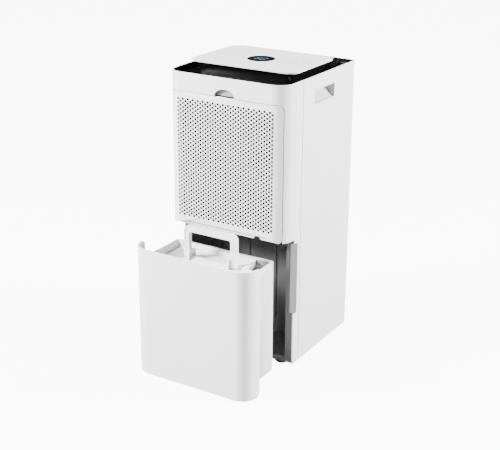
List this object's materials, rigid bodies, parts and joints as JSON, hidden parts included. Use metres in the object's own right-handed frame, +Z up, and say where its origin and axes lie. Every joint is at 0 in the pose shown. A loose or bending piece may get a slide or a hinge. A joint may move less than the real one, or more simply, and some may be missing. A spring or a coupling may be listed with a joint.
{
  "type": "dehumidifier",
  "caption": "Upright portable compressor dehumidifier with perforated front grille, drawn-out water tank with folding handle, floating control panel and side carry recesses.",
  "frame": {"origin": "on the floor, centred under the whole with its tank drawn out", "axes": "+Z up, -Y towards the grille and tank at the front, +X to the machine's left side, which is the right side as seen from the front"},
  "size_m": [0.276, 0.432, 0.626],
  "materials": {
    "gloss_white_abs": "gloss white moulded plastic",
    "tank_white": "white moulded plastic, slightly softer gloss",
    "piano_black": "polished black plastic",
    "display_lens_black": "black clear-coated display window",
    "bay_grey": "satin dark grey plastic",
    "filter_dark": "dark woven filter and its frame",
    "rubber_black": "matt rubber",
    "zinc_steel": "zinc-plated steel",
    "coil_aluminium": "thin aluminium fins and can",
    "pipe_copper": "bare copper tube",
    "compressor_enamel": "black enamel",
    "board_green": "green circuit board",
    "float_white": "white closed-cell float"
  },
  "bodies": {
    "casing": {"front_shell": "gloss_white_abs", "rear_shell": "gloss_white_abs", "carry_cup_left": "gloss_white_abs", "carry_cup_right": "gloss_white_abs", "control_panel": "gloss_white_abs", "top_tray": "piano_black", "outlet_louvre": "piano_black", "bucket_switch": "piano_black", "display_lens": "display_lens_black", "base_pan": "bay_grey", "bay_liner": "bay_grey", "mid_plate": "bay_grey", "drip_tray": "bay_grey", "fan_scroll": "bay_grey", "electronics_box": "bay_grey", "drain_port": "bay_grey", "foot_front_left": "rubber_black", "foot_front_right": "rubber_black", "foot_rear_left": "rubber_black", "foot_rear_right": "rubber_black", "compressor_mount_1": "rubber_black", "compressor_mount_2": "rubber_black", "compressor_mount_3": "rubber_black", "cord_gland": "rubber_black", "fan_motor": "zinc_steel", "motor_bracket": "zinc_steel", "rear_screw_top_left": "zinc_steel", "rear_screw_top_right": "zinc_steel", "rear_screw_low_left": "zinc_steel", "rear_screw_low_right": "zinc_steel", "evaporator": "coil_aluminium", "condenser": "coil_aluminium", "run_capacitor": "coil_aluminium", "suction_pipe": "pipe_copper", "discharge_pipe": "pipe_copper", "filter_drier": "pipe_copper", "compressor": "compressor_enamel", "control_board": "board_green"},
    "tank": {"tank_cover": "gloss_white_abs", "tank_body": "tank_white", "tank_lid": "tank_white", "handle_pin_left": "zinc_steel", "handle_pin_right": "zinc_steel"},
    "handle": {"handle": "gloss_white_abs"},
    "float": {"tank_float": "float_white"},
    "grille": {"grille_panel": "gloss_white_abs", "filter_frame": "filter_dark", "filter_mesh": "filter_dark"},
    "fan": {"fan_wheel": "bay_grey"},
    "cap": {"drain_cap": "rubber_black"},
    "lever": {"bucket_switch_lever": "piano_black"}
  },
  "joints": [
    {"name": "tank_slide", "type": "slide", "parent": "casing", "child": "tank", "axis": [0, 0.9961, 0.0881], "range_m": [0, 0.1305]},
    {"name": "handle_fold", "type": "hinge", "parent": "tank", "child": "handle", "pos_m": [0, -0.136, 0.251], "axis": [1, 0, 0], "range_deg": [0, 90]},
    {"name": "float_swing", "type": "hinge", "parent": "tank", "child": "float", "pos_m": [0, -0.109, 0.226], "axis": [-1, 0, 0], "range_deg": [0, 24]},
    {"name": "grille_tilt", "type": "hinge", "parent": "casing", "child": "grille", "pos_m": [0, -0.083, 0.294], "axis": [1, 0, 0], "range_deg": [0, 30]},
    {"name": "fan_spin", "type": "hinge", "parent": "casing", "child": "fan", "pos_m": [0, 0.1952, 0.4065], "axis": [0, 1, 0], "continuous": true},
    {"name": "drain_cap_pull", "type": "slide", "parent": "casing", "child": "cap", "axis": [0, 1, 0], "range_m": [0, 0.014]},
    {"name": "switch_lever", "type": "hinge", "parent": "casing", "child": "lever", "pos_m": [0.0715, 0.061, 0.254], "axis": [1, 0, 0], "range_deg": [0, 13]}
  ],
  "couplings": [
    {"joint": "handle_fold", "follows": "tank_slide", "rad_per_m": 12.037},
    {"joint": "switch_lever", "follows": "tank_slide", "rad_per_m": 1.7385}
  ]
}
